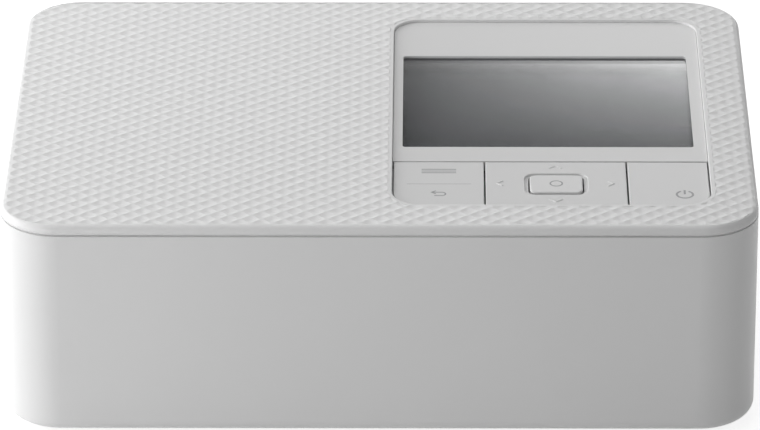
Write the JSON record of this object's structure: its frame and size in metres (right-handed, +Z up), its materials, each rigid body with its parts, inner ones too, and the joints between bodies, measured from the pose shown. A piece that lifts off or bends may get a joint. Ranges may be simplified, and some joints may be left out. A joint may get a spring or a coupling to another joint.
{
  "type": "compact photo printer",
  "caption": "Low rounded-box photo printer: diamond-relief top with inset screen and key row, hinged front cover over the paper bay, side door over the ink cassette.",
  "frame": {"origin": "middle of the footprint, on the surface that the feet stand on", "axes": "+Z up, the front cover faces -Y, the control panel is on the +X side of the top"},
  "size_m": [0.1822, 0.133, 0.0576],
  "materials": {
    "top_cover": "matt white, moulded with a fine diamond relief",
    "body_shell": "satin light grey",
    "front_cover": "satin light grey",
    "base_tray": "matt light grey",
    "feet": "matt",
    "screws": "bright zinc",
    "panel": "satin light grey",
    "keys": "satin light grey",
    "ok_key": "satin white",
    "window": "clear gloss",
    "display": "dark screen",
    "inner_plastic": "matt dark grey",
    "grey_plastic": "matt grey",
    "circuit_board": "green solder mask",
    "tin": "tinned steel",
    "sheet_metal": "galvanised sheet",
    "shafts": "ground steel",
    "roller_rubber": "matt",
    "capstan": "finely toothed steel",
    "gears": "natural acetal",
    "brass": "sintered bronze",
    "motor_can": "plated steel",
    "heatsink": "bare aluminium",
    "print_head": "glazed ceramic",
    "ink_case": "matt dark grey",
    "spools": "matt grey",
    "film": "dark dye film",
    "lever": "blue touch point"
  },
  "bodies": {
    "housing": {"top_cover": "top_cover", "middle_shell": "body_shell", "base_tray": "base_tray", "rubber_feet": "feet", "base_screws": "screws", "ink_door_pins": "shafts", "panel_bezel": "panel", "display_window": "window", "display_panel": "display", "display_holder": "inner_plastic", "key_circuit_board": "circuit_board", "key_switches": "tin", "menu_key_pivot": "grey_plastic", "cassette_bay": "inner_plastic", "left_frame": "sheet_metal", "right_frame": "sheet_metal", "frame_tie_bar": "sheet_metal", "roller_bushes": "brass", "head_arm_shaft": "shafts", "motor_bracket": "sheet_metal", "feed_motor": "motor_can", "ribbon_motor": "motor_can", "main_circuit_board": "circuit_board", "card_slot": "tin", "usb_a_socket": "tin", "usb_c_socket": "tin", "power_inlet": "inner_plastic"},
    "front_cover": {"front_cover": "front_cover", "front_hinge_pins": "shafts"},
    "ink_door": {"ink_door": "body_shell"},
    "menu_key": {"menu_back_key": "keys"},
    "arrow_pivot": {"arrow_key_pivot": "grey_plastic"},
    "arrow_key": {"arrow_key": "keys"},
    "ok_key": {"ok_key": "ok_key"},
    "power_key": {"power_key": "keys"},
    "lift_plate": {"paper_lift_plate": "sheet_metal"},
    "platen": {"platen_roller": "roller_rubber", "platen_shaft": "shafts"},
    "capstan": {"capstan_roller": "capstan", "capstan_gear": "gears"},
    "pinch": {"pinch_roller": "roller_rubber"},
    "pickup": {"pickup_roller": "roller_rubber", "pickup_gear": "gears"},
    "head": {"head_arm": "sheet_metal", "head_heatsink": "heatsink", "thermal_head": "print_head"},
    "cam": {"head_cam": "gears"},
    "feed_spindle": {"feed_pinion": "brass"},
    "reduction": {"reduction_gear": "gears"},
    "ribbon_spindle": {"ribbon_pinion": "brass"},
    "takeup_drive": {"takeup_hub": "gears"},
    "supply_drive": {"supply_hub": "gears"},
    "ink_cassette": {"ink_cassette_case": "ink_case", "ink_film": "film"},
    "takeup_reel": {"takeup_spool": "spools", "takeup_film_roll": "film"},
    "supply_reel": {"supply_spool": "spools", "supply_film_roll": "film"},
    "eject": {"eject_lever": "lever"}
  },
  "joints": [
    {"name": "front_cover_hinge", "type": "hinge", "parent": "housing", "child": "front_cover", "pos_m": [0, -0.0605, 0.007], "axis": [1, 0, 0], "range_deg": [0, 90]},
    {"name": "ink_door_hinge", "type": "hinge", "parent": "housing", "child": "ink_door", "pos_m": [0.0886, 0.0555, 0.034], "axis": [0, 0, 1], "range_deg": [0, 90]},
    {"name": "menu_key_rock", "type": "hinge", "parent": "housing", "child": "menu_key", "pos_m": [0.0143, -0.04088, 0.0533], "axis": [1, 0, 0], "range_deg": [-1.8, 1.8], "stiffness_Nm_per_rad": 0.3},
    {"name": "arrow_key_fore_aft", "type": "hinge", "parent": "housing", "child": "arrow_pivot", "pos_m": [0.0427, -0.04088, 0.05245], "axis": [1, 0, 0], "range_deg": [-1.6, 1.6], "stiffness_Nm_per_rad": 0.3},
    {"name": "arrow_key_side", "type": "hinge", "parent": "arrow_pivot", "child": "arrow_key", "pos_m": [0.0427, -0.04088, 0.0533], "axis": [0, 1, 0], "range_deg": [-1.2, 1.2], "stiffness_Nm_per_rad": 0.3},
    {"name": "ok_key_press", "type": "slide", "parent": "housing", "child": "ok_key", "axis": [0, 0, -1], "range_m": [0, 0.0004], "stiffness_N_per_m": 900},
    {"name": "power_key_press", "type": "slide", "parent": "housing", "child": "power_key", "axis": [0, 0, -1], "range_m": [0, 0.0004], "stiffness_N_per_m": 900},
    {"name": "paper_lift_plate_hinge", "type": "hinge", "parent": "housing", "child": "lift_plate", "pos_m": [0.0225, -0.042, 0.0067], "axis": [1, 0, 0], "range_deg": [0, 12]},
    {"name": "ink_cassette_slide", "type": "slide", "parent": "housing", "child": "ink_cassette", "axis": [1, 0, 0], "range_m": [0, 0.003]},
    {"name": "eject_lever_slide", "type": "slide", "parent": "housing", "child": "eject", "axis": [0, 0, -1], "range_m": [0, 0.003], "stiffness_N_per_m": 40},
    {"name": "head_arm_pivot", "type": "hinge", "parent": "housing", "child": "head", "pos_m": [0.0225, 0.058, 0.046], "axis": [1, 0, 0], "range_deg": [0, 7.5]},
    {"name": "head_cam_turn", "type": "hinge", "parent": "housing", "child": "cam", "pos_m": [-0.0452, 0.02534, 0.0295], "axis": [1, 0, 0], "range_deg": [0, 180]},
    {"name": "capstan_spin", "type": "hinge", "parent": "housing", "child": "capstan", "pos_m": [0.0225, 0.055, 0.0215], "axis": [1, 0, 0], "continuous": true},
    {"name": "reduction_gear_spin", "type": "hinge", "parent": "housing", "child": "reduction", "pos_m": [-0.0522, 0.04147, 0.0179], "axis": [1, 0, 0], "continuous": true},
    {"name": "feed_pinion_spin", "type": "hinge", "parent": "housing", "child": "feed_spindle", "pos_m": [-0.0522, 0.02845, 0.02883], "axis": [1, 0, 0], "continuous": true},
    {"name": "pinch_roller_spin", "type": "hinge", "parent": "housing", "child": "pinch", "pos_m": [0.0225, 0.055, 0.0288], "axis": [1, 0, 0], "continuous": true},
    {"name": "platen_spin", "type": "hinge", "parent": "housing", "child": "platen", "pos_m": [0.0225, 0.021, 0.0185], "axis": [1, 0, 0], "continuous": true},
    {"name": "takeup_reel_spin", "type": "hinge", "parent": "ink_cassette", "child": "takeup_reel", "pos_m": [0.0225, 0, 0.0355], "axis": [1, 0, 0], "continuous": true},
    {"name": "takeup_hub_spin", "type": "hinge", "parent": "housing", "child": "takeup_drive", "pos_m": [-0.0522, 0, 0.0355], "axis": [1, 0, 0], "continuous": true},
    {"name": "supply_reel_spin", "type": "hinge", "parent": "ink_cassette", "child": "supply_reel", "pos_m": [0.0225, 0.042, 0.0355], "axis": [1, 0, 0], "continuous": true},
    {"name": "supply_hub_spin", "type": "hinge", "parent": "housing", "child": "supply_drive", "pos_m": [-0.0522, 0.042, 0.0355], "axis": [1, 0, 0], "continuous": true},
    {"name": "pickup_spin", "type": "hinge", "parent": "housing", "child": "pickup", "pos_m": [0.0225, -0.02385, 0.03278], "axis": [1, 0, 0], "continuous": true},
    {"name": "ribbon_pinion_spin", "type": "hinge", "parent": "housing", "child": "ribbon_spindle", "pos_m": [-0.0522, 0.00525, 0.01933], "axis": [1, 0, 0], "continuous": true}
  ],
  "couplings": [
    {"joint": "eject_lever_slide", "follows": "ink_cassette_slide", "ratio": 1},
    {"joint": "head_cam_turn", "follows": "head_arm_pivot", "ratio": 24},
    {"joint": "reduction_gear_spin", "follows": "capstan_spin", "ratio": -1.3333},
    {"joint": "feed_pinion_spin", "follows": "capstan_spin", "ratio": 3.2},
    {"joint": "pinch_roller_spin", "follows": "capstan_spin", "ratio": -1.3333},
    {"joint": "platen_spin", "follows": "capstan_spin", "ratio": 0.57143},
    {"joint": "takeup_hub_spin", "follows": "takeup_reel_spin", "ratio": 1},
    {"joint": "supply_reel_spin", "follows": "takeup_reel_spin", "ratio": 1},
    {"joint": "supply_hub_spin", "follows": "takeup_reel_spin", "ratio": 1},
    {"joint": "pickup_spin", "follows": "takeup_reel_spin", "ratio": -1},
    {"joint": "ribbon_pinion_spin", "follows": "takeup_reel_spin", "ratio": -2.4}
  ]
}
